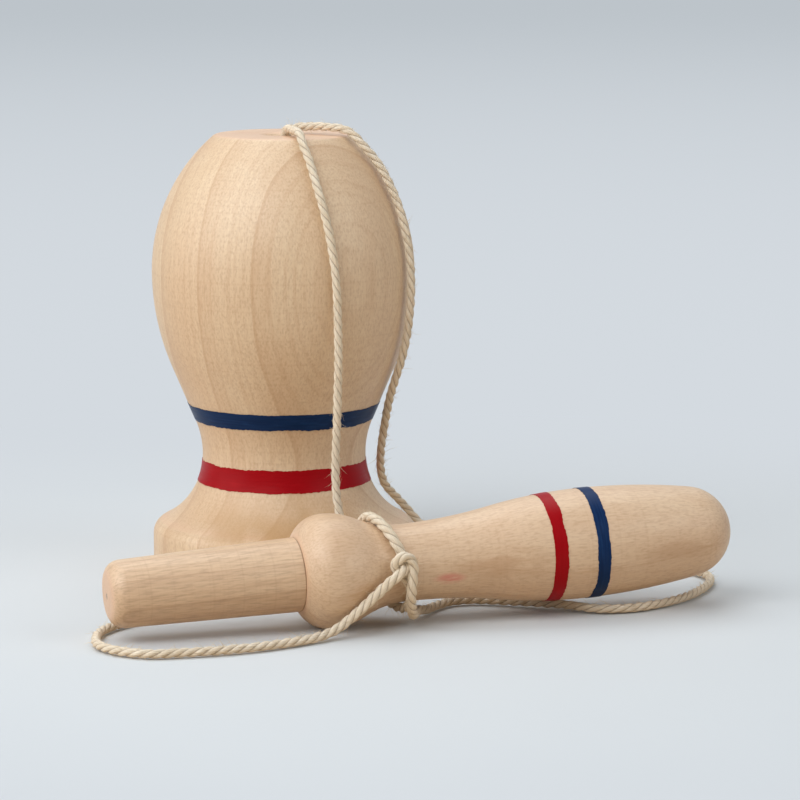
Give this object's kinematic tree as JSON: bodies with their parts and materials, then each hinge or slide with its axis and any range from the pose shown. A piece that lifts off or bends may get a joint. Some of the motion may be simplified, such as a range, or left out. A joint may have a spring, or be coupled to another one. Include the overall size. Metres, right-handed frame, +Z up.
{
  "type": "cup and ball toy",
  "caption": "Turned wooden bell with a socket in its base, tied by a doubled twisted cord to a turned stick whose peg catches the bell.",
  "frame": {"origin": "centre of the socket's mouth in the bell's base, on the surface that the toy lies on", "axes": "+Z up along the bell's axis, +X to the right along the toy's longest extent, and the stick lies on the -Y side"},
  "size_m": [0.137, 0.1275, 0.103],
  "materials": {
    "turned_wood": "pale turned hardwood, lightly varnished",
    "peg_wood": "pale dowel, lightly varnished",
    "red_paint": "thin hand-painted lacquer, satin",
    "blue_paint": "thin hand-painted lacquer, satin",
    "cotton_cord": "fuzzy three-strand twisted cotton"
  },
  "bodies": {
    "handle": {"handle_grip": "turned_wood", "handle_peg": "peg_wood", "handle_red_band": "red_paint", "handle_blue_band": "blue_paint", "cord_left_run": "cotton_cord", "cord_right_run": "cotton_cord", "cord_noose": "cotton_cord"},
    "cord_drape": {"cord_front_drape": "cotton_cord", "cord_right_drape": "cotton_cord", "cord_stopper_knot": "cotton_cord"},
    "head": {"head_body": "turned_wood", "head_red_band": "red_paint", "head_blue_band": "blue_paint"}
  },
  "joints": [
    {"name": "head_lift", "type": "slide", "parent": "handle", "child": "cord_drape", "axis": [0, 0, 1], "range_m": [0, 0.155]},
    {"name": "head_swivel", "type": "hinge", "parent": "cord_drape", "child": "head", "pos_m": [0, 0, 0], "axis": [0, 0, 1], "continuous": true}
  ]
}
